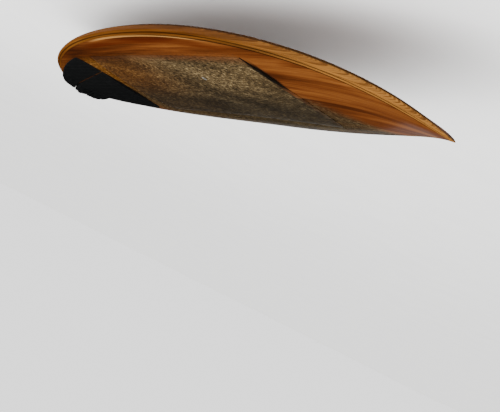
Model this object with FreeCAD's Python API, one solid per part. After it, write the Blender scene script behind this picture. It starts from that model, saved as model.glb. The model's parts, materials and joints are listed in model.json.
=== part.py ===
# Stand up paddleboard, deck up: a wood-veneered foam board with rails, blocks, pads, fins and plugs.
# Millimetres. +X runs to the nose, +Y to the port rail, +Z up. The fin tip stands on Z = 0.
import FreeCAD, Part
import math
import os

from FreeCAD import Vector

# Board outline and profile
LENGTH = 3100.0
WIDTH = 786.0
THICKNESS = 105.0
THICKEST = 0.47           # where the board is thickest, as a share of the length
WIDE_POINT = 0.494        # share of the length, from the tail
TAIL_CURVE = (2.34, 0.534)
NOSE_CURVE = (2.13, 0.852)
END_TRIM = 0.0007         # the ends are cut square this share of the length short of a point
FLAT_POINT = 0.45         # where the bottom is lowest
TAIL_ROCKER = 80.0
NOSE_ROCKER = 120.0
NOSE_KICK = 86.0
RAIL_HEIGHT = 0.56        # height of the rail's widest line, as a share of the thickness
TAIL_THICKNESS = 0.33     # thickness at each end, as a share of the middle's
NOSE_THICKNESS = 0.15
TAIL_ROUND = 45.0         # how far from each end the profile rounds off
NOSE_ROUND = 250.0
SQUARE_END = 2.0          # the end's square edge starts this far up the rounding
DECK_CROWN = (2.1, 0.75)
BOTTOM_FLATNESS = 8.0

# Construction
SKIN = 3.0
STRINGER = 5.0
RAIL_WIDTH = 24.0
TAIL_BLOCK = 95.0
NOSE_BLOCK = 130.0

# Traction
GLUE = 0.06               # glue line under the pads and between the core and its skins
PAD = 5.0
PAD_REAR = 120.0
PAD_FRONT = 728.0
PAD_FRONT_SWEEP = 80.0
PAD_SIDE = 0.775          # half width of the tail pad, as a share of the board's
PAD_CORNER = 215.0
PAD_ROUND = 50.0          # radius of the side pads' outer corners
PAD_GAP = 4.0
CENTRE_REAR = 30.0
CENTRE_FRONT = 115.0
CENTRE_FRONT_AT = 590.0
KICK = 25.0
KICK_RUN = 70.0
ARCH = 7.0
GRIP = 2.0
GRIP_REAR = 790.0
GRIP_FRONT = 2270.0
GRIP_FRONT_SWEEP = 66.0
GRIP_HALF = 250.0
GRIP_BORDER = 26.0

# Centre fin and its box
FIN_BOX_AT = 330.0        # middle of the box, from the tail
FIN_BOX = (276.0, 30.0, 34.0)
FIN_BOX_CORNER = 12.0
FIN_SLOT = (252.0, 9.8, 25.0)
FIN_TRACK = (252.0, 15.4, 5.4)
FIN_TRACK_DEEP = 11.0
FIN_DROP = 16.0           # length of the wide mouth where pin and nut drop into the track
FIN_GAP = 0.3
FIN_BASE = 178.0
FIN_TAB = 22.0
FIN_TAB_SHORT = 8.0       # how much shorter the tab is than the blade's base
FIN_DEPTH = 200.0
FIN_THICK = 9.2
FIN_SWEEP = 150.0
FIN_TIP = 0.12            # how much of the blade's width the square tip keeps
FIN_REST = -10.0          # the fin's place along its slot
TONGUE = (28.0, 4.5)      # length and height of the tongue that the screw clamps
TONGUE_DEEP = 2.6
PIN_R = 2.4
PIN_IN = 12.0             # the pin's place ahead of the fin's rear edge
NUT = (14.0, 3.2)
SCREW_R = 2.0
SCREW_LENGTH = 17.0
SCREW_HEAD = (4.6, 2.2)   # radius and height
SCREW_CLEAR = 0.08
SCREW_SLOT = 1.2

# Side fins
SIDE_AT = 430.0
SIDE_Y = 186.0
SIDE_BOX = (84.0, 22.0, 15.0)
SIDE_BOX_CORNER = 8.0
SIDE_TAB = (62.0, 6.4, 11.0)
SIDE_DEPTH = 112.0
SIDE_BASE = 108.0
SIDE_THICK = 6.4
SIDE_SWEEP = 74.0
SIDE_TOE = 3.0
SIDE_CANT = 5.0
SIDE_SCREWS = (-18.0, 18.0)
SIDE_SCREW_Y = 5.9
SIDE_SCREW_R = 2.2
SIDE_SCREW_LENGTH = 7.0
SIDE_SOCKET_R = 1.1
POCKET_DEPTH = 6.0        # how far a pocket's cutter reaches out through the bottom

# Leash plug, leash string and vent
PLUG_AT = 62.0
PLUG_R = 15.0
PLUG_WALL = 2.4
PLUG_DEEP = 22.0
PLUG_PIN_R = 2.5
PLUG_PIN_DEEP = 6.0
FLANGE_WIDE = 3.0
FLANGE = 1.6
FLANGE_SUNK = 0.6
STRING_D = 3.0
HITCH_R = PLUG_PIN_R + STRING_D / 2 + 0.05
KNOT_R = 4.0
KNOT_TAIL = 13.0
VENT_AT = 1700.0
VENT_Y = 100.0
VENT_R = 11.0
VENT_DEEP = 20.0
VENT_BORE = 4.2
VENT_BORE_DEEP = 13.0
VENT_MOUTH = (7.4, 4.0)
VENT_HEAD = (6.9, 2.6)
VENT_SHANK = 7.6
VENT_SUNK = 3.2           # depth of the seat under the screw's head
RING = (5.5, 0.33)

# Points in each surface's grid
ROWS = 15
COLUMNS = 11
SETTLING = 4              # rounds that settle a pad's point between its bent lines


def half_width(d):
    s = END_TRIM + (1 - 2 * END_TRIM) * d / LENGTH
    if s < WIDE_POINT:
        power, root = TAIL_CURVE
        away = (WIDE_POINT - s) / WIDE_POINT
    else:
        power, root = NOSE_CURVE
        away = (s - WIDE_POINT) / (1 - WIDE_POINT)
    return WIDTH / 2 * (1 - away ** power) ** root


def rocker(d):
    s = d / LENGTH
    if s < FLAT_POINT:
        return TAIL_ROCKER * ((FLAT_POINT - s) / FLAT_POINT) ** 2
    t = (s - FLAT_POINT) / (1 - FLAT_POINT)
    return NOSE_ROCKER * t ** 2 + NOSE_KICK * t ** 6


def rocker_slope(d):
    return (rocker(d + 1) - rocker(d - 1)) / 2


def thickness(d):
    away = abs(d / LENGTH - THICKEST) / (1 - THICKEST)
    end = TAIL_THICKNESS if d < THICKEST * LENGTH else NOSE_THICKNESS
    return THICKNESS * (end + (1 - end) * max(0.0, 1 - away ** 2.3) ** 0.9)


def end_round(d):
    """1 along the board, falling in a quarter ellipse to a small square end."""
    tail = min(1.0, (d + SQUARE_END) / TAIL_ROUND)
    nose = min(1.0, (LENGTH - d + SQUARE_END) / NOSE_ROUND)
    return math.sqrt(1 - (1 - tail) ** 2) * math.sqrt(1 - (1 - nose) ** 2)


def rail_z(d):
    return rocker(d) + RAIL_HEIGHT * thickness(d)


def deck_z(d, y):
    across = min(1.0, abs(y) / half_width(d))
    power, root = DECK_CROWN
    crown = (1 - RAIL_HEIGHT) * thickness(d) * end_round(d)
    return rail_z(d) + crown * (1 - across ** power) ** root


def bottom_z(d, y):
    across = min(1.0, abs(y) / half_width(d))
    belly = RAIL_HEIGHT * thickness(d) * end_round(d)
    return rail_z(d) - belly * math.sqrt(1 - across ** BOTTOM_FLATNESS)


def spread(low, high, count):
    return [low + (high - low) * i / (count - 1) for i in range(count)]


def place(d, y, z):
    return Vector(d - LENGTH / 2, y, z)


def spline_surface(points):
    surface = Part.BSplineSurface()
    surface.interpolate(points)
    return surface


def closed_solid(faces):
    """The solid that these faces close around."""
    shell = Part.Shell(Part.makeCompound(faces).Faces)
    shell.sewShape()
    solid = Part.Solid(Part.Shell(shell.Faces))
    if solid.Volume < 0:
        solid.reverse()
    return solid


def block(low, high):
    """A solid between two spline faces through grids of points, with ruled walls."""
    surfaces = [spline_surface(points) for points in (low, high)]
    faces = [surface.toShape() for surface in surfaces]
    u0, u1, v0, v1 = surfaces[0].bounds()
    for iso, at in (("uIso", u0), ("uIso", u1), ("vIso", v0), ("vIso", v1)):
        edges = [getattr(surface, iso)(at).toShape() for surface in surfaces]
        faces.append(Part.makeRuledSurface(*edges))
    return closed_solid(faces)


def wrapped(rows):
    """A solid inside one spline face whose rows run round the rail, with a flat inner wall and ends."""
    surface = spline_surface(rows)
    u0, u1, v0, v1 = surface.bounds()
    faces = [surface.toShape()]
    faces.append(Part.makeRuledSurface(surface.vIso(v0).toShape(), surface.vIso(v1).toShape()))
    for u, row in ((u0, rows[0]), (u1, rows[-1])):
        chord = Part.LineSegment(row[-1], row[0]).toShape()
        faces.append(Part.Face(Part.Wire([surface.uIso(u).toShape(), chord])))
    return closed_solid(faces)


def strip(stations, side_low, side_high, z_low, z_high, columns=COLUMNS):
    """A block over the plan between two side lines, between two heights that depend on place."""
    grids = []
    for height in (z_low, z_high):
        rows = []
        for d in stations:
            ys = spread(side_low(d), side_high(d), columns)
            rows.append([place(d, y, height(d, y)) for y in ys])
        grids.append(rows)
    return block(*grids)


def body_stations():
    return spread(TAIL_BLOCK, LENGTH - NOSE_BLOCK, ROWS + 10)


def inner_side(d):
    return half_width(d) - RAIL_WIDTH


def core_floor(d, y):
    return bottom_z(d, y) + SKIN + GLUE


def core_roof(d, y):
    return deck_z(d, y) - SKIN - GLUE


def core_half(sign):
    near = sign * STRINGER / 2
    lines = [lambda d: near, lambda d: sign * (inner_side(d) - GLUE)]
    if sign < 0:
        lines.reverse()
    return strip(body_stations(), *lines, core_floor, core_roof)


def stringer():
    return strip(body_stations(), lambda d: -STRINGER / 2, lambda d: STRINGER / 2,
                 core_floor, core_roof, 3)


def deck_skin():
    return strip(body_stations(), lambda d: -inner_side(d), inner_side,
                 lambda d, y: deck_z(d, y) - SKIN, deck_z, COLUMNS + 8)


def bottom_skin():
    return strip(body_stations(), lambda d: -inner_side(d), inner_side,
                 bottom_z, lambda d, y: bottom_z(d, y) + SKIN, COLUMNS + 8)


def rail_row(d, sign, inner, count=9):
    """Points round the rail at one station, from the bottom's inner edge to the deck's."""
    near, far = inner(d), half_width(d)
    turns = [math.sin(math.pi / 2 * i / (count - 1)) for i in range(count)]
    ys = [sign * (near + (far - near) * t) for t in turns]
    below = [place(d, y, bottom_z(d, y)) for y in ys]
    above = [place(d, y, deck_z(d, y)) for y in ys]
    return below + above[-2::-1]


def rail(sign):
    return wrapped([rail_row(d, sign, inner_side) for d in body_stations()])


def end_block(end, inside):
    """The whole section of the board from an end to a cut across it, as two joined halves."""
    count = 11
    bunch = [1 - math.cos(math.pi / 2 * i / (count - 1)) for i in range(count)]
    stations = [end + (inside - end) * b for b in bunch]
    halves = [wrapped([rail_row(d, sign, lambda d: 0.0, 11) for d in stations]) for sign in (1, -1)]
    return halves[0].fuse(halves[1]).removeSplitter()


def pad_side(d, near):
    """A side pad's outer line, with its corners rounded in near the pad's two ends."""
    off = 1 - min(1.0, near / PAD_ROUND)
    return PAD_SIDE * half_width(d) - PAD_ROUND * (1 - math.sqrt(1 - off * off))


def pad_front(y):
    return PAD_FRONT - PAD_FRONT_SWEEP * (y / PAD_CORNER) ** 2


def centre_side(d):
    slope = (CENTRE_FRONT - CENTRE_REAR) / (CENTRE_FRONT_AT - PAD_REAR)
    return CENTRE_REAR + slope * (d - PAD_REAR)


def pad_height(d):
    """The pad is even, then climbs to the kick at its rear edge."""
    climb = max(0.0, min(1.0, (PAD_REAR + KICK_RUN - d) / KICK_RUN))
    return PAD + KICK * (3 * climb ** 2 - 2 * climb ** 3)


def bunched(count):
    """Shares from 0 to 1, closer together at both ends."""
    return [(1 - math.cos(math.pi * i / (count - 1))) / 2 for i in range(count)]


def sheet_on_deck(lines, rear, front, height, columns, rows=ROWS + 8):
    """A pad on the deck between two side lines, from a rear to a front line that bends with y.

    Each side line depends on the distance from the tail and from the nearer end of the pad."""
    grids = []
    for lift in (lambda d, y: GLUE, height):
        grid = []
        for t in bunched(rows):
            near = min(t, 1 - t) * (front(0) - rear)
            row = []
            for c in spread(0, 1, columns):
                d = rear + t * (front(0) - rear)
                for _ in range(SETTLING):
                    low, high = (line(d, near) for line in lines)
                    y = low + c * (high - low)
                    d = rear + t * (front(y) - rear)
                row.append(place(d, y, deck_z(d, y) + lift(d, y)))
            grid.append(row)
        grids.append(grid)
    return block(*grids)


def tail_pad_side(sign):
    lines = [lambda d, near: sign * (centre_side(d) + PAD_GAP),
             lambda d, near: sign * pad_side(d, near)]
    if sign < 0:
        lines.reverse()
    return sheet_on_deck(lines, PAD_REAR, pad_front, lambda d, y: pad_height(d), 9)


def tail_pad_centre():
    def height(d, y):
        share = min(1.0, abs(y) / centre_side(d))
        return pad_height(d) + ARCH * (1 - share ** 2) ** 2
    lines = [lambda d, near: -centre_side(d), lambda d, near: centre_side(d)]
    return sheet_on_deck(lines, PAD_REAR, pad_front, height, 9)


def grip_front(y):
    return GRIP_FRONT - GRIP_FRONT_SWEEP * (y / GRIP_HALF) ** 2


def deck_grip():
    lines = [lambda d, near: -GRIP_HALF, lambda d, near: GRIP_HALF]
    return sheet_on_deck(lines, GRIP_REAR, grip_front, lambda d, y: GRIP, 15)


def grip_border():
    """The dark strip along the front edge of the deck grip."""
    grids = []
    for lift in (GLUE, GRIP):
        grid = []
        for t in (0.0, 0.5, 1.0):
            row = []
            for y in spread(-GRIP_HALF, GRIP_HALF, 15):
                wide = GRIP_BORDER * math.sqrt(1.02 - (y / GRIP_HALF) ** 2)
                d = grip_front(y) + 1 + wide * t
                row.append(place(d, y, deck_z(d, y) + lift))
            grid.append(row)
        grids.append(grid)
    return block(*grids)


def box(length, width, height, x=0.0, y=0.0, z=0.0):
    """A box centred on x and y, standing on z."""
    return Part.makeBox(length, width, height, Vector(x - length / 2, y - width / 2, z))


def rod(radius, length, base, axis=Vector(0, 0, 1)):
    return Part.makeCylinder(radius, length, base, axis)


def seat(shape, d, y, pitch, roll=0.0, yaw=0.0):
    """Move a shape made about the origin onto the bottom, turned to lie along it."""
    shape = shape.copy()
    shape.rotate(Vector(), Vector(0, 0, 1), yaw)
    shape.rotate(Vector(), Vector(1, 0, 0), roll)
    shape.rotate(Vector(), Vector(0, 1, 0), pitch)
    shape.translate(place(d, y, bottom_z(d, y)))
    return shape


def fin_pitch(d):
    return math.degrees(math.atan(-rocker_slope(d)))


def fin_blade(base, depth, thick, sweep):
    """A foiled blade lofted down from the base, swept back towards the tail."""
    sections = []
    for t in spread(0, 1, 9):
        pointed = (1 - t ** 1.7) ** 0.62
        square = (1 - t ** 4) ** 0.5
        chord = base * (pointed * (1 - FIN_TIP) + square * FIN_TIP)
        chord = max(chord, base * 0.09)
        front = base / 2 - sweep * t ** 1.35
        half = max(0.5, thick / 2 * (1 - 0.86 * t))
        around = []
        for a in range(12):
            turn = 2 * math.pi * a / 12
            along = (1 - math.cos(turn)) / 2
            side = half * math.sin(turn) * (1.25 - 0.75 * along)
            around.append(Vector(front - chord * along, side, -depth * t))
        curve = Part.BSplineCurve()
        curve.interpolate(around, PeriodicFlag=True)
        sections.append(Part.Wire([curve.toShape()]))
    return Part.makeLoft(sections, True)


def fin_tab_width():
    return FIN_SLOT[1] - 2 * FIN_GAP


def pin_z():
    return FIN_TRACK_DEEP + FIN_TRACK[2] / 2


def screw_x():
    return FIN_BASE / 2 + 10


def fin_pin_rod(length):
    base = Vector(-FIN_BASE / 2 + PIN_IN, -length / 2, pin_z())
    return rod(PIN_R, length, base, Vector(0, 1, 0))


def centre_fin():
    blade = fin_blade(FIN_BASE, FIN_DEPTH, FIN_THICK, FIN_SWEEP)
    tab = box(FIN_BASE - FIN_TAB_SHORT, fin_tab_width(), FIN_TAB, z=-0.5)
    length, height = TONGUE
    tongue = box(length, fin_tab_width(), height, x=FIN_BASE / 2 + 4, z=TONGUE_DEEP)
    hole = rod(SCREW_R + SCREW_CLEAR, FIN_BOX[2], Vector(screw_x(), 0, -10))
    return blade.fuse(tab).fuse(tongue).cut(fin_pin_rod(FIN_BOX[1])).cut(hole).removeSplitter()


def fin_pin():
    return fin_pin_rod(FIN_TRACK[1] - 1.0)


def fin_nut():
    length, height = NUT
    plate = box(length, FIN_TRACK[1] - 0.8, height, x=screw_x(), z=FIN_TRACK_DEEP + 0.6)
    return plate.cut(rod(SCREW_R + SCREW_CLEAR, FIN_BOX[2], Vector(screw_x(), 0, 0)))


def fin_screw():
    base = Vector(screw_x(), 0, 0.2)
    head = rod(*SCREW_HEAD, base)
    slot = box(3 * SCREW_HEAD[0], SCREW_SLOT, SCREW_SLOT, x=screw_x(), z=-0.2)
    return rod(SCREW_R, SCREW_LENGTH, base).fuse(head).cut(slot).removeSplitter()


def rounded_box(size, corner, low=0.0, z=0.4):
    """A box with rounded upright corners, reaching `low` below its mouth at z."""
    length, width, height = size
    shell = box(length, width, height + low, z=z - low)
    upright = [e for e in shell.Edges if abs(e.Vertexes[0].Z - e.Vertexes[1].Z) > 1]
    return shell.makeFillet(corner, upright)


def fin_box():
    shell = rounded_box(FIN_BOX, FIN_BOX_CORNER)
    slot = box(*FIN_SLOT, z=-1)
    track = box(*FIN_TRACK, z=FIN_TRACK_DEEP)
    drop_x = (FIN_SLOT[0] - FIN_DROP) / 2
    drop = box(FIN_DROP, FIN_TRACK[1], FIN_TRACK_DEEP + 2, x=drop_x, z=-1)
    return shell.cut(slot).cut(track).cut(drop).removeSplitter()


def side_box():
    length, width, deep = SIDE_TAB
    shell = rounded_box(SIDE_BOX, SIDE_BOX_CORNER)
    shell = shell.cut(box(length + 0.4, width + 0.4, deep + 1.4, z=-0.6))
    for x in SIDE_SCREWS:
        shell = shell.cut(rod(SIDE_SCREW_R, SIDE_SCREW_LENGTH + 2, Vector(x, SIDE_SCREW_Y, -1)))
    return shell.removeSplitter()


def side_screws():
    solids = []
    for x in SIDE_SCREWS:
        screw = rod(SIDE_SCREW_R, SIDE_SCREW_LENGTH, Vector(x, SIDE_SCREW_Y, 1.0))
        socket = rod(SIDE_SOCKET_R, 3.0, Vector(x, SIDE_SCREW_Y, 0.0))
        solids.append(screw.cut(socket))
    return Part.makeCompound(solids)


def side_fin():
    blade = fin_blade(SIDE_BASE, SIDE_DEPTH, SIDE_THICK, SIDE_SWEEP)
    blade.translate(Vector(0, 0, -FIN_GAP))
    tab = box(SIDE_TAB[0], SIDE_TAB[1] - 0.2, SIDE_TAB[2] + 1, z=-1)
    return blade.fuse(tab).removeSplitter()


def on_keel(shape):
    return seat(shape, FIN_BOX_AT, 0, fin_pitch(FIN_BOX_AT))


def on_side(shape, sign):
    """Set a side-fin piece in place: toed in, canted out and along the rocker."""
    return seat(shape, SIDE_AT, sign * SIDE_Y, fin_pitch(SIDE_AT), sign * SIDE_CANT, -sign * SIDE_TOE)


def plug_place(above=0.0):
    """The leash plug's axis at the deck, or that far above it."""
    return place(PLUG_AT, 0, deck_z(PLUG_AT, 0) + above)


def pin_rod(length):
    return rod(PLUG_PIN_R, length, plug_place(-PLUG_PIN_DEEP) - Vector(0, length / 2, 0), Vector(0, 1, 0))


def leash_cup():
    cup = rod(PLUG_R, PLUG_DEEP, plug_place(-PLUG_DEEP))
    flange = rod(PLUG_R + FLANGE_WIDE, FLANGE, plug_place(-FLANGE_SUNK))
    hollow = rod(PLUG_R - PLUG_WALL, PLUG_DEEP, plug_place(PLUG_WALL - PLUG_DEEP))
    return cup.fuse(flange).cut(hollow).cut(pin_rod(4 * PLUG_R)).removeSplitter()


def leash_pin():
    return pin_rod(2 * PLUG_R - 2)


def leash_pocket():
    body = rod(PLUG_R, 2 * PLUG_DEEP, plug_place(-PLUG_DEEP))
    rebate = rod(PLUG_R + FLANGE_WIDE, PLUG_DEEP, plug_place(-FLANGE_SUNK))
    return body.fuse(rebate).removeSplitter()


def vent_place(below=0.0):
    return place(VENT_AT, VENT_Y, deck_z(VENT_AT, VENT_Y) + GRIP - below)


def vent_housing():
    radius, deep = VENT_MOUTH
    body = rod(VENT_R, VENT_DEEP, vent_place(VENT_DEEP))
    bore = rod(VENT_BORE, VENT_BORE_DEEP, vent_place(VENT_BORE_DEEP))
    throat = rod(VENT_BORE - 1.5, VENT_DEEP, vent_place(VENT_DEEP + 1))
    mouth = rod(radius, deep, vent_place(deep))
    return body.cut(bore).cut(throat).cut(mouth).removeSplitter()


def vent_pocket():
    return rod(VENT_R, 2 * VENT_DEEP, vent_place(VENT_DEEP))


def vent_screw():
    head = rod(*VENT_HEAD, vent_place(VENT_SUNK))
    shank = rod(VENT_BORE - SCREW_CLEAR, VENT_SHANK, vent_place(VENT_SUNK + VENT_SHANK))
    top = vent_place(VENT_SUNK - VENT_HEAD[1])
    slot = box(8.0, 1.6, 2.0, x=top.x, y=top.y, z=top.z - 1.2)
    return head.fuse(shank).cut(slot).removeSplitter()


def vent_ring():
    radius, section = RING
    return Part.makeTorus(radius, section, vent_place(VENT_SUNK + 0.42))


def vent_membrane():
    return rod(VENT_BORE - 0.02, 0.4, vent_place(VENT_BORE_DEEP - 0.4))


def string_route():
    """The leash string's route, chosen by hand: off the pin, over the cup's rim and along the tail."""
    from_plug = [
        (2.4, 0, -2.7),
        (-8, 1.5, 5),
        (-20, 9, 6.8),
        (-27, 24, 1.2),
        (-27, 43, -2.5),
        (-18, 61, -5.8),
        (-2, 73, -5.0),
    ]
    return [plug_place() + Vector(*point) for point in from_plug]


def cord_path(points):
    """Straight runs joined by tangent arcs, each as large as its two runs allow."""
    edges = []
    start = points[0]
    for before, at, after in zip(points, points[1:], points[2:]):
        into = (at - before).normalize()
        out = (after - at).normalize()
        turn = into.getAngle(out)
        reach = 0.45 * min((at - before).Length, (after - at).Length)
        radius = reach / math.tan(turn / 2)
        bisector = (out - into).normalize()
        middle = at + bisector * (radius / math.cos(turn / 2) - radius)
        edges.append(Part.LineSegment(start, at - into * reach).toShape())
        edges.append(Part.Arc(at - into * reach, middle, at + out * reach).toShape())
        start = at + out * reach
        print("cord run %.1f mm, arc radius %.1f mm" % ((at - before).Length, radius))
    edges.append(Part.LineSegment(start, points[-1]).toShape())
    return Part.Wire(edges)


def leash_string():
    points = string_route()
    path = cord_path(points)
    ring = Part.Wire([Part.makeCircle(STRING_D / 2, points[0], points[1] - points[0])])
    tube = path.makePipeShell([ring], True, True)
    expected = math.pi * STRING_D ** 2 / 4 * path.Length
    print("cord length %.1f mm, volume %.1f of %.1f mm3" % (path.Length, tube.Volume, expected))
    return tube


def string_hitch(string):
    """The string's turn around the pin."""
    turn = Part.makeTorus(HITCH_R, STRING_D / 2, plug_place(-PLUG_PIN_DEEP), Vector(0, 1, 0))
    return turn.cut(string)


def string_knot(string):
    end, before = string_route()[-1], string_route()[-2]
    along = (end - before).normalize()
    knot = Part.makeSphere(KNOT_R, end + along * (KNOT_R - 0.2))
    tail = rod(STRING_D / 2, KNOT_TAIL, end + along * (KNOT_R - 1), along)
    return knot.fuse(tail).cut(string).removeSplitter()


def export(shapes):
    """Write every part, lifted so that the lowest fin tip stands on Z = 0."""
    lift = -min(shape.BoundBox.ZMin for shape in shapes.values())
    print("lift %.4f" % lift)
    os.makedirs("parts", exist_ok=True)
    for name, shape in shapes.items():
        shape = shape.copy()
        shape.translate(Vector(0, 0, lift))
        shape.exportStep("parts/%s.step" % name)
        print("%-22s %9.1f cm3  valid %s" % (name, shape.Volume / 1000, shape.isValid()))


def hull():
    """The board itself: cores, stringer, skins, rails and end blocks, with pockets for what is let in."""
    box_pocket = on_keel(rounded_box(FIN_BOX, FIN_BOX_CORNER, POCKET_DEPTH))
    side_pocket = rounded_box(SIDE_BOX, SIDE_BOX_CORNER, POCKET_DEPTH)
    side_pockets = [on_side(side_pocket, sign) for sign in (1, -1)]
    pockets = [box_pocket, *side_pockets, vent_pocket()]
    return {
        "foam_core_left": core_half(1).cut(pockets),
        "foam_core_right": core_half(-1).cut(pockets),
        "stringer": stringer().cut(box_pocket),
        "deck_skin": deck_skin().cut(vent_pocket()),
        "bottom_skin": bottom_skin().cut([box_pocket, *side_pockets]),
        "rail_left": rail(1),
        "rail_right": rail(-1),
        "tail_block": end_block(0, TAIL_BLOCK).cut(leash_pocket()),
        "nose_block": end_block(LENGTH, LENGTH - NOSE_BLOCK),
    }


def traction():
    return {
        "tail_pad_left": tail_pad_side(1),
        "tail_pad_right": tail_pad_side(-1),
        "tail_pad_centre": tail_pad_centre(),
        "deck_grip": deck_grip().cut(vent_pocket()),
        "grip_border": grip_border(),
    }


def fins():
    pieces = {"fin_box": on_keel(fin_box())}
    for name, make in (("centre_fin", centre_fin), ("fin_pin", fin_pin), ("fin_nut", fin_nut),
                       ("fin_screw", fin_screw)):
        shape = make()
        shape.translate(Vector(FIN_REST, 0, 0))
        pieces[name] = on_keel(shape)
    for side, sign in (("left", 1), ("right", -1)):
        pieces["side_fin_box_" + side] = on_side(side_box(), sign)
        pieces["side_fin_" + side] = on_side(side_fin(), sign)
        pieces["side_fin_screws_" + side] = on_side(side_screws(), sign)
    return pieces


def fittings():
    string = leash_string()
    return {
        "leash_cup": leash_cup(),
        "leash_pin": leash_pin(),
        "leash_string": string,
        "string_hitch": string_hitch(string),
        "string_knot": string_knot(string),
        "vent_housing": vent_housing(),
        "vent_screw": vent_screw(),
        "vent_ring": vent_ring(),
        "vent_membrane": vent_membrane(),
    }


export({**hull(), **traction(), **fins(), **fittings()})
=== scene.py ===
import json
import math

import bpy
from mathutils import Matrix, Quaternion, Vector


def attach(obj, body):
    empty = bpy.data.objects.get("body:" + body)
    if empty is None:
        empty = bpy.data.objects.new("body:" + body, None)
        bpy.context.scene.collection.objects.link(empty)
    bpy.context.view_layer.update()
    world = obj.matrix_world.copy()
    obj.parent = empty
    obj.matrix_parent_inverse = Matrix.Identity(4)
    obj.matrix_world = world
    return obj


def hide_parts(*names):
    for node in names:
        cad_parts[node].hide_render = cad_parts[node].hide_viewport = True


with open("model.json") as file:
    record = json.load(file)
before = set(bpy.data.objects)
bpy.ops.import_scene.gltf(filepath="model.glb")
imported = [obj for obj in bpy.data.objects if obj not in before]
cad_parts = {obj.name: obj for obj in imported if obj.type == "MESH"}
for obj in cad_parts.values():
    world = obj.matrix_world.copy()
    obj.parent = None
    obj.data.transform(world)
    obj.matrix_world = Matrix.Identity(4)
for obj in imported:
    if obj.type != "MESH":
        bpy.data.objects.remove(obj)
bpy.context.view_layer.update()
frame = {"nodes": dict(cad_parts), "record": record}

# The board's outline and deck, as the design has them
LENGTH = 3.100
WIDTH = 0.786
THICKNESS = 0.105
THICKEST = 0.47
WIDE_POINT = 0.494
TAIL_CURVE = (2.34, 0.534)
NOSE_CURVE = (2.13, 0.852)
END_TRIM = 0.0007
FLAT_POINT = 0.45
TAIL_ROCKER = 0.080
NOSE_ROCKER = 0.120
NOSE_KICK = 0.086
RAIL_HEIGHT = 0.56
TAIL_THICKNESS = 0.33
NOSE_THICKNESS = 0.15
TAIL_ROUND = 0.045
SQUARE_END = 0.002
DECK_CROWN = (2.1, 0.75)
RAIL_WIDTH = 0.024

# Tail pads
GLUE = 0.00006
PAD = 0.005
PAD_REAR = 0.120
PAD_FRONT = 0.728
PAD_FRONT_SWEEP = 0.080
PAD_SIDE = 0.775
PAD_CORNER = 0.215
PAD_ROUND = 0.050
PAD_GAP = 0.004
CENTRE_REAR = 0.030
CENTRE_FRONT = 0.115
CENTRE_FRONT_AT = 0.590
KICK = 0.025
KICK_RUN = 0.070
ARCH = 0.007
PAD_EDGE = 0.0035         # radius of a pad's rounded upper edge
GROOVE_PITCH = 0.026
GROOVE_HALF = 0.0034
GROOVE_DEEP = 0.0026
KICK_GROOVE = 0.0055      # depth of the grooves where they cross the kick
DIAMOND_PITCH = 0.013
DIAMOND_DEEP = 0.0016
DIAMOND_HALF = 0.0022
DIAMOND_SLANT = (0.8, 0.6)
PAD_STEP = 0.0022         # spacing of a pad's mesh
EDGE_DROP = 0.75          # share of the edge radius that a pad's edge drops
SETTLING = 4              # rounds that settle a pad's point between its bent lines

# Meshes of the pads and the grip
EDGE_SHARES = (0.0, 0.11, 0.31, 0.60, 1.0)      # where the lines near an edge stand
SHARP_ANGLE = 50          # degrees; shading breaks where faces meet more sharply

# Deck grip
GRIP = 0.002
GRIP_REAR = 0.790
GRIP_FRONT = 2.270
GRIP_FRONT_SWEEP = 0.066
GRIP_HALF = 0.250
GRIP_BOW = GRIP_FRONT_SWEEP / GRIP_HALF ** 2
GRIP_FEATHER = 0.030      # the sheet thins over this distance to its edge
GRIP_THIN = 0.0001        # thickness left at the sheet's very edge
GRIP_STEP = 0.012         # spacing of the sheet's mesh
VENT_AT = 1.700
VENT_Y = 0.100
VENT_R = 0.011

# Stain, painted shade, a painted highlight and lines: a pair gives where a band or a fade starts and ends
# The SHADE_ pairs place the painted shade over the deck's starboard half and its rail
SHADE_MIDDLE = (-0.12, 0.12)
SHADE_FRONT = (0.70, 0.88)
SHADE_SLANT = 0.92
SHADE_REAR = (-1.30, -0.80)
STAIN_PORT = (0.205, 0.275)
STAIN_RAGGED = 0.16
STAIN_REAR = (-1.05, -0.80)
STAIN_GREYING = (-0.60, 0.10)
SLASH_LONG = 0.030
SLASH_SIDE = (0.13, 0.19)
# The pale band is a painted highlight, standing in for a reflection along each rail's shoulder; the red band
# lies further inside
HIGHLIGHT_BAND = (0.019, 0.030)
HIGHLIGHT_RUN = (-0.40, 0.34)
RED_BAND = (0.047, 0.063)
RED_RUN = (-0.49, 0.40)
PINLINE = 0.0045
RAIL_SEAM = (0.0105, 0.0145)
KEEL_LINE = (0.022, 0.026)
BORDER_SIDE = (0.03, 0.10)

# Leash plug and string
PLUG_AT = 0.062
PLUG_PIN_DEEP = 0.006
PLUG_PIN_R = 0.0025
STRING_D = 0.003
KNOT_R = 0.004
KNOT_BITE = 0.0002        # how far the string's end runs into its knot
KNOT_TURN = 0.0017        # radius of the knot's turns
KNOT_SWELL = 0.0008
KNOT_POINTS = 36
KNOT_TAIL = 0.013
TAIL_SHORT = 0.001        # how much of the tail's length lies before the knot's middle
HITCH_PLAY = 0.00005
HITCH_SPREAD = 1.0304     # widens the hitch's control ring, as its smooth curve runs inside it
HITCH_POINTS = 12

# Waves to the metre of woven cloth and braided string, in radians
CLOTH_WAVE = 1900.0
STRAND_WAVE = 4200.0

# Studio
LIGHT_AIM = Vector((0.0, 0.0, 0.25))
FLOOR_HALF = 40.0

MOUNTS = {mount["name"]: mount for mount in frame["record"]["mounts"]}


def half_width(d):
    s = END_TRIM + (1 - 2 * END_TRIM) * d / LENGTH
    if s < WIDE_POINT:
        power, root = TAIL_CURVE
        away = (WIDE_POINT - s) / WIDE_POINT
    else:
        power, root = NOSE_CURVE
        away = (s - WIDE_POINT) / (1 - WIDE_POINT)
    return WIDTH / 2 * (1 - away ** power) ** root


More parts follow.
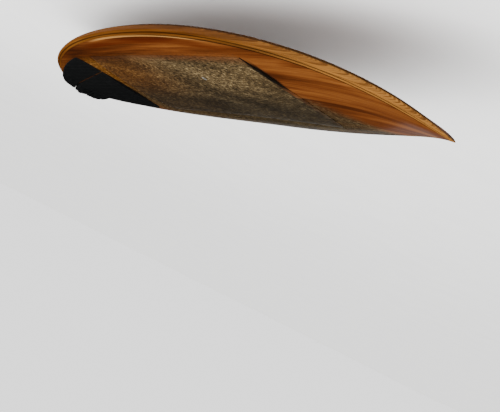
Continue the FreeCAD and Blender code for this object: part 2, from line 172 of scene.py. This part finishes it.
def design_deck_z(d, y):
    """The deck's height up to the rounded nose, before the board is lifted onto its fin."""
    s = d / LENGTH
    if s < FLAT_POINT:
        rocker = TAIL_ROCKER * ((FLAT_POINT - s) / FLAT_POINT) ** 2
    else:
        t = (s - FLAT_POINT) / (1 - FLAT_POINT)
        rocker = NOSE_ROCKER * t ** 2 + NOSE_KICK * t ** 6
    away = abs(s - THICKEST) / (1 - THICKEST)
    end = TAIL_THICKNESS if s < THICKEST else NOSE_THICKNESS
    thickness = THICKNESS * (end + (1 - end) * (1 - away ** 2.3) ** 0.9)
    tail = min(1.0, (d + SQUARE_END) / TAIL_ROUND)
    power, root = DECK_CROWN
    across = min(1.0, abs(y) / half_width(d))
    crown = (1 - RAIL_HEIGHT) * thickness * math.sqrt(1 - (1 - tail) ** 2)
    return rocker + RAIL_HEIGHT * thickness + crown * (1 - across ** power) ** root


# How far the design is lifted to stand on its fin tip, read from where the leash pin is
LIFT = MOUNTS["leash_pin"]["pos_m"][2] + PLUG_PIN_DEEP - design_deck_z(PLUG_AT, 0)


def on_deck(d, y, above=0.0):
    return Vector((d - LENGTH / 2, y, design_deck_z(d, y) + LIFT + above))


# ---------------------------------------------------------------- camera, lights and floor

def make_camera():
    camera = bpy.data.objects.new("camera", bpy.data.cameras.new("camera"))
    camera.data.sensor_width = 36.0
    camera.data.lens = 70.24
    camera.data.clip_end = 100.0
    camera.location = (3.53045, 1.61845, 1.04305)
    camera.rotation_mode = "QUATERNION"
    camera.rotation_quaternion = Quaternion((0.713571, -0.486707, 0.454017, -0.218634))
    bpy.context.scene.collection.objects.link(camera)
    bpy.context.scene.camera = camera


def make_light(name, place, size, power):
    lamp = bpy.data.lights.new(name, "AREA")
    lamp.size = size
    lamp.energy = power
    light = bpy.data.objects.new(name, lamp)
    light.location = place
    light.rotation_euler = (LIGHT_AIM - Vector(place)).to_track_quat("-Z", "Y").to_euler()
    bpy.context.scene.collection.objects.link(light)


def make_world(strength, mirrored, backdrop):
    """A plain pale studio: gloss mirrors it dimmer, and the camera sees it as a backdrop."""
    world = bpy.data.worlds.new("studio")
    world.use_nodes = True
    nodes, links = world.node_tree.nodes, world.node_tree.links
    path = nodes.new("ShaderNodeLightPath")
    dim = nodes.new("ShaderNodeMapRange")
    dim.inputs["To Min"].default_value = strength
    dim.inputs["To Max"].default_value = mirrored
    links.new(path.outputs["Is Glossy Ray"], dim.inputs["Value"])
    seen = nodes.new("ShaderNodeMapRange")
    seen.inputs["To Max"].default_value = backdrop
    links.new(path.outputs["Is Camera Ray"], seen.inputs["Value"])
    links.new(dim.outputs[0], seen.inputs["To Min"])
    links.new(seen.outputs[0], nodes["Background"].inputs["Strength"])
    nodes["Background"].inputs["Color"].default_value = (1.0, 1.0, 1.0, 1.0)
    bpy.context.scene.world = world


def make_floor():
    half = FLOOR_HALF
    corners = [(-half, -half, 0), (half, -half, 0), (half, half, 0), (-half, half, 0)]
    mesh = bpy.data.meshes.new("floor")
    mesh.from_pydata(corners, [], [(0, 1, 2, 3)])
    floor = bpy.data.objects.new("floor", mesh)
    bpy.context.scene.collection.objects.link(floor)
    paint = Shader("floor_paint")
    mottle = paint.noise(paint.place, 3.0, detail=2)
    paint.set("Base Color", paint.ramp(mottle, (0.3, (0.90, 0.90, 0.89)), (0.7, (0.93, 0.93, 0.92))))
    paint.set("Roughness", 0.9)
    mesh.materials.append(paint.material)


# ---------------------------------------------------------------- materials

class Shader:
    """One procedural material, in the row frame's metres. Numbers and sockets mix in its calls."""

    def __init__(self, name):
        self.material = bpy.data.materials.new(name)
        self.material.use_nodes = True
        self.tree = self.material.node_tree
        self.surface = self.tree.nodes["Principled BSDF"]
        coordinates = self.tree.nodes.new("ShaderNodeTexCoord")
        self.place = coordinates.outputs["Object"]
        self.x, self.y, self.z = self.split(self.place)
        self.normal_z = self.split(coordinates.outputs["Normal"])[2]

    def feed(self, socket, value):
        if isinstance(value, bpy.types.NodeSocket):
            self.tree.links.new(value, socket)
        elif isinstance(value, tuple) and socket.type == "RGBA":
            socket.default_value = (*value, 1.0)
        else:
            socket.default_value = value

    def set(self, name, value):
        self.feed(self.surface.inputs[name], value)

    def split(self, vector):
        node = self.tree.nodes.new("ShaderNodeSeparateXYZ")
        self.feed(node.inputs[0], vector)
        return node.outputs

    def join(self, x, y, z):
        node = self.tree.nodes.new("ShaderNodeCombineXYZ")
        for socket, value in zip(node.inputs, (x, y, z)):
            self.feed(socket, value)
        return node.outputs[0]

    def maths(self, operation, *values):
        node = self.tree.nodes.new("ShaderNodeMath")
        node.operation = operation
        for socket, value in zip(node.inputs, values):
            self.feed(socket, value)
        return node.outputs[0]

    def plus(self, a, b):
        return self.maths("ADD", a, b)

    def times(self, a, b):
        return self.maths("MULTIPLY", a, b)

    def step(self, value, low, high, start=0.0, end=1.0):
        """A smooth climb from start to end as the value goes from low to high."""
        node = self.tree.nodes.new("ShaderNodeMapRange")
        node.interpolation_type = "SMOOTHSTEP"
        for socket, number in zip(node.inputs, (value, low, high, start, end)):
            self.feed(socket, number)
        return node.outputs[0]

    def band(self, value, low, high, soft):
        """1 between low and high, fading to 0 over `soft` outside them."""
        rise = self.step(value, low - soft, low)
        fall = self.step(value, high, high + soft, 1.0, 0.0)
        return self.times(rise, fall)

    def noise(self, vector, scale, detail=4.0, roughness=0.55, distortion=0.0):
        node = self.tree.nodes.new("ShaderNodeTexNoise")
        self.feed(node.inputs["Vector"], vector)
        node.inputs["Scale"].default_value = scale
        node.inputs["Detail"].default_value = detail
        node.inputs["Roughness"].default_value = roughness
        node.inputs["Distortion"].default_value = distortion
        return node.outputs[0]

    def drawn(self, along, sideways, across, seed):
        """A place scaled along and across the board, in which noise draws out into grain."""
        return self.join(self.times(self.x, along), self.times(sideways, across), seed)

    def cells(self, vector, scale):
        node = self.tree.nodes.new("ShaderNodeTexVoronoi")
        self.feed(node.inputs["Vector"], vector)
        node.inputs["Scale"].default_value = scale
        return node.outputs["Distance"]

    def ramp(self, factor, *stops):
        node = self.tree.nodes.new("ShaderNodeValToRGB")
        elements = node.color_ramp.elements
        while len(elements) < len(stops):
            elements.new(0.5)
        for element, (at, colour) in zip(elements, stops):
            element.position = at
            element.color = (*colour, 1.0)
        self.feed(node.inputs[0], factor)
        return node.outputs[0]

    def mix(self, factor, a, b):
        node = self.tree.nodes.new("ShaderNodeMix")
        node.data_type = "RGBA"
        self.feed(node.inputs[0], factor)
        self.feed(node.inputs[6], a)
        self.feed(node.inputs[7], b)
        return node.outputs[2]

    def bump(self, height, distance, strength):
        node = self.tree.nodes.new("ShaderNodeBump")
        node.inputs["Strength"].default_value = strength
        node.inputs["Distance"].default_value = distance
        self.feed(node.inputs["Height"], height)
        self.set("Normal", node.outputs[0])

    def coat(self, weight, roughness):
        self.set("Coat Weight", weight)
        self.set("Coat Roughness", roughness)

    def edge_distance(self):
        """How far inside the outline a point lies. Each curve's factor is 1 on the other's side."""
        share = (1 - 2 * END_TRIM) / LENGTH
        s = self.plus(self.times(self.x, share), 0.5)
        half = WIDTH / 2
        for (power, root), sign, run in ((TAIL_CURVE, -1, WIDE_POINT), (NOSE_CURVE, 1, 1 - WIDE_POINT)):
            away = self.times(self.plus(s, -WIDE_POINT), sign / run)
            away = self.maths("MAXIMUM", away, 0.0)
            left = self.maths("SUBTRACT", 1.0, self.maths("POWER", away, power))
            left = self.maths("MAXIMUM", left, 0.0)
            half = self.times(self.maths("POWER", left, root), half)
        return self.maths("SUBTRACT", half, self.maths("ABSOLUTE", self.y))


VENEER = ((0.36, (0.014, 0.0034, 0.0010)), (0.45, (0.040, 0.0098, 0.0022)),
          (0.54, (0.078, 0.0215, 0.0046)), (0.66, (0.145, 0.0520, 0.0120)))
RAIL_WOOD = ((0.38, (0.020, 0.0050, 0.0011)), (0.46, (0.050, 0.0150, 0.0026)),
             (0.54, (0.088, 0.0290, 0.0050)), (0.64, (0.170, 0.0680, 0.0140)))
DARK = (0.006, 0.0025, 0.0006)


def wood_tone(shader, leaf=0.096, seed=0.0, across=None):
    """Long grain along the board in glued leaves, as one number about 0.5, and its fine lines."""
    if across is None:
        across = shader.y
    sideways = shader.plus(across, shader.times(shader.z, 0.6))
    wander = shader.times(shader.noise(shader.join(shader.x, seed, 0.0), 0.9, detail=1), 0.03)
    sideways = shader.plus(sideways, wander)
    index = shader.maths("FLOOR", shader.times(sideways, 1 / leaf))
    leaf_seed = shader.plus(shader.times(index, 7.31), seed)
    bands = shader.noise(shader.drawn(0.7, sideways, 13.0, leaf_seed), 1.0, detail=3, distortion=0.5)
    lines = shader.noise(shader.drawn(3.0, sideways, 230.0, leaf_seed), 1.0, detail=6, roughness=0.65)
    pores = shader.noise(shader.drawn(22.0, sideways, 900.0, seed), 1.0, detail=3)
    tone = shader.plus(shader.times(bands, 0.62), shader.times(lines, 0.30))
    return shader.plus(tone, shader.times(pores, 0.10)), lines


def painted_shade_side(shader):
    """A factor for painted shade: the deck's starboard half, where it lies in shade, is darkened and greyed,
    ending slantwise towards the nose.
    """
    across = shader.step(shader.y, *SHADE_MIDDLE, 1.0, 0.0)
    front = shader.plus(shader.x, shader.times(shader.y, SHADE_SLANT))
    along = shader.step(front, *SHADE_FRONT, 1.0, 0.0)
    from_tail = shader.step(shader.x, *SHADE_REAR, 0.30, 1.0)
    return shader.times(shader.times(across, along), from_tail)


def brushed_stain(shader, wood):
    """Brushed flecks over the wood, warm at the tail and grey in front, and a dark slash at their end."""
    slant = shader.plus(shader.y, shader.times(shader.x, 0.25))
    flecks = shader.noise(shader.drawn(42.0, slant, 170.0, 1.0), 1.0, detail=5, roughness=0.74,
                          distortion=0.35)
    clouds = shader.noise(shader.drawn(2.4, slant, 8.0, 5.0), 1.0, detail=4, distortion=0.8)
    tone = shader.plus(shader.times(flecks, 0.80), shader.times(clouds, 0.20))
    warm = shader.ramp(tone, (0.40, (0.010, 0.0032, 0.0006)), (0.49, (0.045, 0.0150, 0.0020)),
                       (0.56, (0.105, 0.0430, 0.0080)), (0.63, (0.230, 0.1250, 0.0360)))
    grey = shader.ramp(tone, (0.40, (0.006, 0.0040, 0.0018)), (0.49, (0.038, 0.0230, 0.0085)),
                       (0.56, (0.098, 0.0640, 0.0260)), (0.63, (0.300, 0.2200, 0.1100)))
    colour = shader.mix(shader.step(shader.x, *STAIN_GREYING), warm, grey)
    # Painted shade: over the starboard half the flecks are mixed towards near black.
    dark = shader.mix(0.28, (0.0060, 0.0050, 0.0034), grey)
    colour = shader.mix(shader.times(painted_shade_side(shader), 0.88), colour, dark)
    ragged = shader.plus(shader.y, shader.times(shader.plus(flecks, -0.5), STAIN_RAGGED))
    port = shader.step(ragged, *STAIN_PORT, 1.0, 0.0)
    rear = shader.step(shader.x, *STAIN_REAR, 0.25, 1.0)
    bow = shader.plus(shader.x, shader.times(shader.times(shader.y, shader.y), GRIP_BOW))
    edge = GRIP_FRONT - LENGTH / 2
    front = shader.step(bow, edge - 0.008, edge + 0.002, 1.0, 0.0)
    # The flecks carry on towards the nose under the painted shade on the starboard half.
    front = shader.maths("MAXIMUM", front, shader.times(painted_shade_side(shader), 0.9))
    colour = shader.mix(shader.times(port, shader.times(rear, front)), wood, colour)
    slash = shader.times(shader.band(bow, edge, edge + SLASH_LONG, 0.020),
                         shader.band(shader.y, *SLASH_SIDE, 0.06))
    return shader.mix(shader.times(slash, 0.95), colour, (0.0030, 0.0020, 0.0012)), flecks


def deck_colour(shader):
    """Veneer with a painted highlight band and a dark red band inside each rail, the brushed stain with
    painted shade over its starboard half, and the pinline.
    """
    tone, lines = wood_tone(shader)
    colour = shader.ramp(tone, *VENEER)
    inset = shader.edge_distance()
    # Painted highlight: a pale band inside each rail, standing in for a reflection along the rail's rounded
    # shoulder.
    pale = shader.times(shader.band(inset, *HIGHLIGHT_BAND, 0.006), shader.band(shader.x, *HIGHLIGHT_RUN, 0.22))
    colour = shader.mix(shader.times(pale, 0.90), colour, (0.340, 0.165, 0.046))
    # A dark red band further inside each rail.
    red = shader.times(shader.band(inset, *RED_BAND, 0.012), shader.band(shader.x, *RED_RUN, 0.30))
    colour = shader.mix(shader.times(red, 0.70), colour, (0.045, 0.0065, 0.0010))
    colour, flecks = brushed_stain(shader, colour)
    pin = shader.band(inset, RAIL_WIDTH, RAIL_WIDTH + PINLINE, 0.0020)
    pin = shader.times(pin, shader.step(shader.x, -0.5, 0.2, 0.25, 0.9))
    return shader.mix(pin, colour, DARK), lines, flecks


def finish_gloss(shader, colour, lines, coat=0.06):
    """Wood with no gloss of its own, under a thin clear coat."""
    shader.set("Base Color", colour)
    shader.set("Roughness", shader.step(lines, 0.3, 0.7, 0.42, 0.30))
    shader.set("Specular IOR Level", 0.0)
    shader.bump(lines, 0.00010, 0.5)
    shader.coat(coat, 0.10)
    return shader.material


def deck_veneer():
    shader = Shader("deck_veneer")
    colour, lines, _ = deck_colour(shader)
    return finish_gloss(shader, colour, lines)


def bottom_veneer():
    shader = Shader("bottom_veneer")
    tone, lines = wood_tone(shader, leaf=0.12, seed=3.0)
    colour = shader.ramp(tone, *VENEER)
    keel = shader.band(shader.maths("ABSOLUTE", shader.y), *KEEL_LINE, 0.0006)
    return finish_gloss(shader, shader.mix(keel, colour, DARK), lines)


def rail_colour(shader):
    """Strip-built wood, paler towards the nose, with a dark seam along it, painted shade on its starboard
    side and painted shade where it faces downwards.
    """
    inset = shader.edge_distance()
    strips = shader.times(shader.plus(inset, shader.times(shader.z, 0.5)), 3.0)
    tone, lines = wood_tone(shader, leaf=9.0, seed=5.0, across=strips)
    colour = shader.ramp(tone, *RAIL_WOOD)
    nose = shader.times(shader.step(shader.x, 0.4, 1.4), shader.step(lines, 0.42, 0.58, 0.20, 0.85))
    colour = shader.mix(nose, colour, (0.270, 0.118, 0.026))
    # Painted shade: the rail's starboard side darkened, as on the deck.
    colour = shader.mix(shader.times(painted_shade_side(shader), 0.75), colour, (0.0120, 0.0090, 0.0050))
    seam = shader.band(inset, *RAIL_SEAM, 0.0015)
    colour = shader.mix(shader.times(seam, 0.75), colour, DARK)
    # Painted shade: surfaces facing downwards are darkened towards near black.
    under = shader.step(shader.normal_z, -0.60, -0.90)
    return shader.mix(shader.times(under, 0.85), colour, DARK), lines


def rail_wood():
    shader = Shader("rail_wood")
    colour, lines = rail_colour(shader)
    return finish_gloss(shader, colour, lines, coat=0.03)


def block_wood():
    """The end blocks continue the deck's veneer and the rails' wood to the ends."""
    shader = Shader("block_wood")
    colour, lines, _ = deck_colour(shader)
    rail, _ = rail_colour(shader)
    outside = shader.step(shader.edge_distance(), RAIL_WIDTH - 0.001, RAIL_WIDTH, 1.0, 0.0)
    return finish_gloss(shader, shader.mix(outside, colour, rail), lines, coat=0.03)


def deck_grip():
    """A clear grip sheet, gritty and less glossy, over the deck's stain and wood."""
    shader = Shader("deck_grip")
    colour, _, flecks = deck_colour(shader)
    shader.set("Base Color", colour)
    shader.set("Roughness", shader.step(flecks, 0.3, 0.7, 0.62, 0.46))
    shader.set("Specular IOR Level", 0.02)
    shader.bump(shader.noise(shader.place, 900.0, detail=2), 0.00025, 0.6)
    shader.coat(0.05, 0.25)
    return shader.material


def grip_border():
    """Dark over the port half, running out into the deck's colours to starboard."""
    shader = Shader("grip_border")
    streak = shader.noise(shader.drawn(60.0, shader.y, 14.0, 0.0), 1.0)
    dark = shader.ramp(streak, (0.35, (0.002, 0.0016, 0.0012)), (0.7, (0.009, 0.006, 0.0035)))
    colour, _, _ = deck_colour(shader)
    shader.set("Base Color", shader.mix(shader.step(shader.y, *BORDER_SIDE), colour, dark))
    shader.set("Specular IOR Level", 0.02)
    shader.set("Roughness", shader.step(streak, 0.3, 0.7, 0.55, 0.40))
    shader.bump(shader.noise(shader.place, 900.0, detail=2), 0.00020, 0.5)
    return shader.material


def moulded(name, dark, light, roughness, scale=260.0, depth=0.00012, shine=0.5):
    """Rubber, foam or moulded plastic: a faint mottle in colour and roughness over a fine grain."""
    shader = Shader(name)
    mottle = shader.noise(shader.place, scale / 6, detail=3)
    grain = shader.noise(shader.place, scale * 4, detail=3, roughness=0.6)
    shader.set("Base Color", shader.ramp(mottle, (0.35, dark), (0.68, light)))
    shader.set("Roughness", shader.step(mottle, 0.3, 0.7, roughness - 0.05, roughness + 0.06))
    shader.bump(grain, depth, 0.6)
    shader.set("Specular IOR Level", shine)
    return shader.material


def metal(name, dark, light, roughness, stretch):
    """Brushed or turned metal, its fine scratches drawn out along one axis."""
    shader = Shader(name)
    x, y, z = (shader.times(v, s) for v, s in zip((shader.x, shader.y, shader.z), stretch))
    scratches = shader.noise(shader.join(x, y, z), 1.0, detail=5, roughness=0.7)
    shader.set("Base Color", shader.ramp(scratches, (0.3, dark), (0.7, light)))
    shader.set("Metallic", 1.0)
    shader.set("Roughness", shader.step(scratches, 0.25, 0.75, roughness + 0.10, roughness - 0.05))
    shader.bump(scratches, 0.00005, 0.4)
    return shader.material


def expanded_foam():
    shader = Shader("expanded_foam")
    beads = shader.cells(shader.place, 330.0)
    shader.set("Base Color", shader.ramp(beads, (0.1, (0.90, 0.90, 0.87)), (0.8, (0.72, 0.72, 0.69))))
    shader.set("Roughness", shader.step(beads, 0.0, 0.8, 0.75, 0.92))
    shader.bump(beads, 0.0006, 0.6)
    return shader.material


def stringer_wood():
    shader = Shader("stringer_wood")
    tone, lines = wood_tone(shader, leaf=0.2, seed=12.0)
    pale = shader.ramp(tone, (0.3, (0.42, 0.27, 0.13)), (0.7, (0.66, 0.49, 0.29)))
    shader.set("Base Color", pale)
    shader.set("Roughness", shader.step(lines, 0.3, 0.7, 0.7, 0.55))
    shader.bump(lines, 0.0002, 0.5)
    return shader.material


def fin_laminate():
    """Black glass laminate: woven cloth under a polished surface."""
    shader = Shader("fin_laminate")
    warp = shader.maths("SINE", shader.times(shader.x, CLOTH_WAVE))
    weft = shader.maths("SINE", shader.times(shader.z, CLOTH_WAVE))
    weave = shader.plus(shader.times(shader.times(warp, weft), 0.5), 0.5)
    shader.set("Base Color", shader.ramp(weave, (0.2, (0.010, 0.010, 0.012)), (0.8, (0.030, 0.030, 0.034))))
    shader.set("Roughness", shader.step(weave, 0.0, 1.0, 0.34, 0.26))
    shader.bump(weave, 0.00006, 0.4)
    shader.set("Specular IOR Level", 0.2)
    shader.coat(0.25, 0.08)
    return shader.material


def braid():
    """A braided cord: two sets of strands crossing along and around it."""
    shader = Shader("braid")
    one = shader.maths("SINE", shader.times(shader.plus(shader.x, shader.y), STRAND_WAVE))
    two = shader.maths("SINE", shader.times(shader.maths("SUBTRACT", shader.y, shader.x), STRAND_WAVE))
    strands = shader.plus(shader.times(shader.times(one, two), 0.5), 0.5)
    shader.set("Base Color", shader.ramp(strands, (0.1, (0.002, 0.002, 0.003)), (0.9, (0.016, 0.016, 0.019))))
    shader.set("Roughness", shader.step(strands, 0.0, 1.0, 0.85, 0.70))
    shader.bump(strands, 0.0002, 0.8)
    shader.set("Specular IOR Level", 0.05)
    return shader.material


def make_materials():
    """Every material by the record's slot name."""
    return {
        "foam": expanded_foam(),
        "spruce": stringer_wood(),
        "deck_veneer": deck_veneer(),
        "bottom_veneer": bottom_veneer(),
        "rail_wood": rail_wood(),
        "block_wood": block_wood(),
        "pad_foam": moulded("pad_foam", (0.0010, 0.0012, 0.0013), (0.0035, 0.0040, 0.0042), 0.70,
                            scale=720.0, depth=0.0002, shine=0.06),
        "grip": deck_grip(),
        "border": grip_border(),
        "box_plastic": moulded("box_plastic", (0.010, 0.010, 0.011), (0.024, 0.024, 0.026), 0.48),
        "fin_laminate": fin_laminate(),
        "pin_steel": metal("pin_steel", (0.42, 0.42, 0.43), (0.66, 0.66, 0.67), 0.30, (900.0, 90.0, 900.0)),
        "nut_brass": metal("nut_brass", (0.52, 0.36, 0.13), (0.74, 0.56, 0.25), 0.34, (120.0, 900.0, 900.0)),
        "screw_steel": metal("screw_steel", (0.48, 0.48, 0.50), (0.72, 0.72, 0.74), 0.22,
                             (700.0, 700.0, 120.0)),
        "cup_plastic": moulded("cup_plastic", (0.012, 0.012, 0.013), (0.026, 0.026, 0.028), 0.38),
        "string": braid(),
        "vent_plastic": moulded("vent_plastic", (0.16, 0.15, 0.13), (0.22, 0.21, 0.18), 0.55),
        "seal_rubber": moulded("seal_rubber", (0.008, 0.008, 0.008), (0.018, 0.018, 0.018), 0.70),
        "membrane": moulded("membrane", (0.78, 0.78, 0.77), (0.88, 0.88, 0.87), 0.85),
    }


def dress_cad_nodes(materials):
    for part in frame["record"]["subparts"]:
        for slot in frame["nodes"][part["node"]].material_slots:
            slot.material = materials[part["material_slot"]]


# ---------------------------------------------------------------- pieces

def add_piece(name, data, material):
    data.materials.append(material)
    piece = bpy.data.objects.new(name, data)
    bpy.context.scene.collection.objects.link(piece)
    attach(piece, "board")
    return piece


def closed_grid(name, low, high):
    """A closed mesh between two grids of points, with walls round their edges."""
    rows, columns = len(low), len(low[0])
    points = [p for grid in (low, high) for row in grid for p in row]

    def at(layer, r, c):
        return (layer * rows + r) * columns + c

    faces = []
    for r in range(rows - 1):
        for c in range(columns - 1):
            square = [(r, c), (r, c + 1), (r + 1, c + 1), (r + 1, c)]
            faces.append([at(0, *corner) for corner in square])
            faces.append([at(1, *corner) for corner in reversed(square)])
    rim = [(0, c) for c in range(columns)] + [(r, columns - 1) for r in range(1, rows)]
    rim += [(rows - 1, c) for c in range(columns - 2, -1, -1)] + [(r, 0) for r in range(rows - 2, 0, -1)]
    for here, there in zip(rim, rim[1:] + rim[:1]):
        faces.append([at(0, *there), at(0, *here), at(1, *here), at(1, *there)])
    mesh = bpy.data.meshes.new(name)
    mesh.from_pydata(points, [], faces)
    mesh.shade_smooth()
    mesh.set_sharp_from_angle(angle=math.radians(SHARP_ANGLE))
    return mesh


def places(length, edge, step):
    """Places along a length, about `step` apart but closer within `edge` of each end."""
    ends = [share * edge for share in EDGE_SHARES]
    count = max(2, round((length - 2 * edge) / step))
    middle = [edge + (length - 2 * edge) * i / count for i in range(1, count)]
    return ends + middle + [length - end for end in reversed(ends)]


def pad_side(d, near):
    """A side pad's outer line, with its corners rounded in near the pad's two ends."""
    off = 1 - min(1.0, near / PAD_ROUND)
    return PAD_SIDE * half_width(d) - PAD_ROUND * (1 - math.sqrt(1 - off * off))


def pad_front(y):
    return PAD_FRONT - PAD_FRONT_SWEEP * (y / PAD_CORNER) ** 2


def centre_side(d):
    slope = (CENTRE_FRONT - CENTRE_REAR) / (CENTRE_FRONT_AT - PAD_REAR)
    return CENTRE_REAR + slope * (d - PAD_REAR)


def kick_climb(d):
    """0 on the flat of the pad, rising to 1 on top of the kick."""
    climb = max(0.0, min(1.0, (PAD_REAR + KICK_RUN - d) / KICK_RUN))
    return 3 * climb ** 2 - 2 * climb ** 3


def groove(distance, pitch, half):
    """1 in the middle of a groove that repeats every pitch, falling to 0 at its sides."""
    off = abs((distance + pitch / 2) % pitch - pitch / 2)
    return 0.5 + 0.5 * math.cos(math.pi * off / half) if off < half else 0.0


def pad_surface(d, y, arch):
    """The pad's height over the deck: its body, less the long grooves and the diamonds between them."""
    kick = kick_climb(d)
    height = PAD + KICK * kick + arch
    long_groove = groove(y - GROOVE_PITCH / 2, GROOVE_PITCH, GROOVE_HALF)
    deep = GROOVE_DEEP + (KICK_GROOVE - GROOVE_DEEP) * kick
    along, across = DIAMOND_SLANT
    diamonds = max(groove(along * d + across * y, DIAMOND_PITCH, DIAMOND_HALF),
                   groove(along * d - across * y, DIAMOND_PITCH, DIAMOND_HALF))
    return height - max(deep * long_groove, DIAMOND_DEEP * diamonds)


def pad_mesh(name, left, right, arch):
    """A pad between two side lines, from its rear line to its bent front, with rounded edges."""
    run = PAD_FRONT - PAD_REAR
    widest = left(PAD_FRONT, PAD_ROUND) - right(PAD_FRONT, PAD_ROUND)
    columns = [place / widest for place in places(widest, PAD_EDGE, PAD_STEP)]
    low, high = [], []
    for t in (place / run for place in places(run, PAD_EDGE, PAD_STEP)):
        near = min(t, 1 - t) * run
        low_row, high_row = [], []
        for c in columns:
            d = PAD_REAR + t * run
            for _ in range(SETTLING):
                width = left(d, near) - right(d, near)
                y = right(d, near) + c * width
                d = PAD_REAR + t * (pad_front(y) - PAD_REAR)
            inside = min(1.0, min(c * width, (1 - c) * width, near) / PAD_EDGE)
            rounding = PAD_EDGE * (1 - math.sqrt(1 - (1 - inside) ** 2))
            height = pad_surface(d, y, arch(d, y)) - EDGE_DROP * rounding
            low_row.append(on_deck(d, y, GLUE))
            high_row.append(on_deck(d, y, height))
        low.append(low_row)
        high.append(high_row)
    return closed_grid(name, low, high)


def make_tail_pads(material):
    def flat(d, y):
        return 0.0

    def arched(d, y):
        share = min(1.0, abs(y) / centre_side(d))
        return ARCH * (1 - share ** 2) ** 2

    def joint(d, near):
        return centre_side(d) + PAD_GAP

    lines = {
        "left": (pad_side, joint, flat),
        "centre": (lambda d, near: centre_side(d), lambda d, near: -centre_side(d), arched),
        "right": (lambda d, near: -joint(d, near), lambda d, near: -pad_side(d, near), flat),
    }
    for side, (left, right, arch) in lines.items():
        name = "grooved_pad_" + side
        pad = add_piece(name, pad_mesh(name, left, right, arch), material)
        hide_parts("tail_pad_" + side)


def make_deck_grip(material):
    """The grip sheet, feathered out at its rear and sides, with a hole for the vent."""
    def height(inside):
        t = min(1.0, inside / GRIP_FEATHER)
        return GRIP_THIN + (GRIP - GRIP_THIN) * (3 * t ** 2 - 2 * t ** 3)

    low, high = [], []
    run, wide = GRIP_FRONT - GRIP_REAR, 2 * GRIP_HALF
    for along in places(run, GRIP_FEATHER, GRIP_STEP):
        low_row, high_row = [], []
        for side in places(wide, GRIP_FEATHER, GRIP_STEP):
            y = side - GRIP_HALF
            front = GRIP_FRONT - GRIP_FRONT_SWEEP * (y / GRIP_HALF) ** 2
            d = GRIP_REAR + along / run * (front - GRIP_REAR)
            low_row.append(on_deck(d, y, GLUE))
            high_row.append(on_deck(d, y, height(min(along, side, wide - side))))
        low.append(low_row)
        high.append(high_row)
    sheet = add_piece("grip_sheet", closed_grid("grip_sheet", low, high), material)
    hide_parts("deck_grip")

    bpy.ops.mesh.primitive_cylinder_add(vertices=64, radius=VENT_R, depth=10 * GRIP,
                                        location=on_deck(VENT_AT, VENT_Y))
    cutter = bpy.context.object
    cut = sheet.modifiers.new("vent_hole", "BOOLEAN")
    cut.operation = "DIFFERENCE"
    cut.object = cutter
    view = bpy.context.evaluated_depsgraph_get()
    drilled = bpy.data.meshes.new_from_object(sheet.evaluated_get(view))
    sheet.modifiers.clear()
    sheet.data = drilled
    bpy.data.objects.remove(cutter)


def add_run(curve, points, cyclic=False):
    """One smooth NURBS run through a curve's data."""
    run = curve.splines.new("NURBS")
    run.points.add(len(points) - 1)
    for point, place in zip(run.points, points):
        point.co = (*place, 1.0)
    run.use_cyclic_u = cyclic
    run.order_u = 3
    run.use_endpoint_u = not cyclic


def cord_curve(name):
    curve = bpy.data.curves.new(name, "CURVE")
    curve.dimensions = "3D"
    curve.bevel_depth = STRING_D / 2
    curve.bevel_resolution = 6
    curve.resolution_u = 16
    curve.use_fill_caps = True
    return curve


def string_route():
    """The leash string's route: off the pin, over the cup's rim and along the tail."""
    from_plug = [
        (0.0024, 0, -0.0027),
        (-0.008, 0.0015, 0.005),
        (-0.020, 0.009, 0.0068),
        (-0.027, 0.024, 0.0012),
        (-0.027, 0.043, -0.0025),
        (-0.018, 0.061, -0.0058),
        (-0.002, 0.073, -0.0050),
    ]
    plug = on_deck(PLUG_AT, 0)
    return [plug + Vector(point) for point in from_plug]


def make_knot(end, along, material):
    """A round knot at the string's end, with a short tail."""
    side = along.cross(Vector((0, 0, 1))).normalized()
    up = side.cross(along)
    middle = end + along * (KNOT_R - KNOT_BITE)
    turns = []
    for i in range(KNOT_POINTS):
        a = 2 * math.pi * i / KNOT_POINTS
        out = KNOT_TURN + KNOT_SWELL * math.cos(3 * a)
        offset = side * math.cos(2 * a) * out + up * math.sin(2 * a) * out
        turns.append(middle + offset + along * math.sin(3 * a) * KNOT_TURN)
    curve = cord_curve("tied_knot")
    add_run(curve, turns, cyclic=True)
    tip = middle + along * (KNOT_TAIL - TAIL_SHORT)
    add_run(curve, [middle, middle + along * 0.005 + side * 0.0006, tip - along * 0.003, tip])
    knot = add_piece("tied_knot", curve, material)
    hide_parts("string_knot")
    return knot


def make_hitch(material):
    """The string's turn round the plug's pin."""
    pin = on_deck(PLUG_AT, 0, -PLUG_PIN_DEEP)
    reach = (PLUG_PIN_R + STRING_D / 2 + HITCH_PLAY) * HITCH_SPREAD
    ring = [2 * math.pi * i / HITCH_POINTS for i in range(HITCH_POINTS)]
    curve = cord_curve("pin_hitch")
    add_run(curve, [pin + Vector((math.cos(a), 0, math.sin(a))) * reach for a in ring], cyclic=True)
    hitch = add_piece("pin_hitch", curve, material)
    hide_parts("string_hitch")
    return hitch


def make_leash_string(material):
    route = string_route()
    curve = cord_curve("cord_string")
    add_run(curve, route)
    string = add_piece("cord_string", curve, material)
    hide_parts("leash_string")
    knot = make_knot(route[-1], (route[-1] - route[-2]).normalized(), material)
    hitch = make_hitch(material)


# ---------------------------------------------------------------- the whole scene

make_camera()
materials = make_materials()
make_leash_string(materials["string"])
dress_cad_nodes(materials)
make_tail_pads(materials["pad_foam"])
make_deck_grip(materials["grip"])
make_world(strength=2.0, mirrored=0.10, backdrop=1.75)
make_floor()
make_light("key", (0.6, 2.6, 3.4), size=3.0, power=110)
make_light("fill", (2.4, 1.4, 3.0), size=3.0, power=50)
make_light("tail", (-3.0, 1.8, 2.6), size=2.0, power=40)
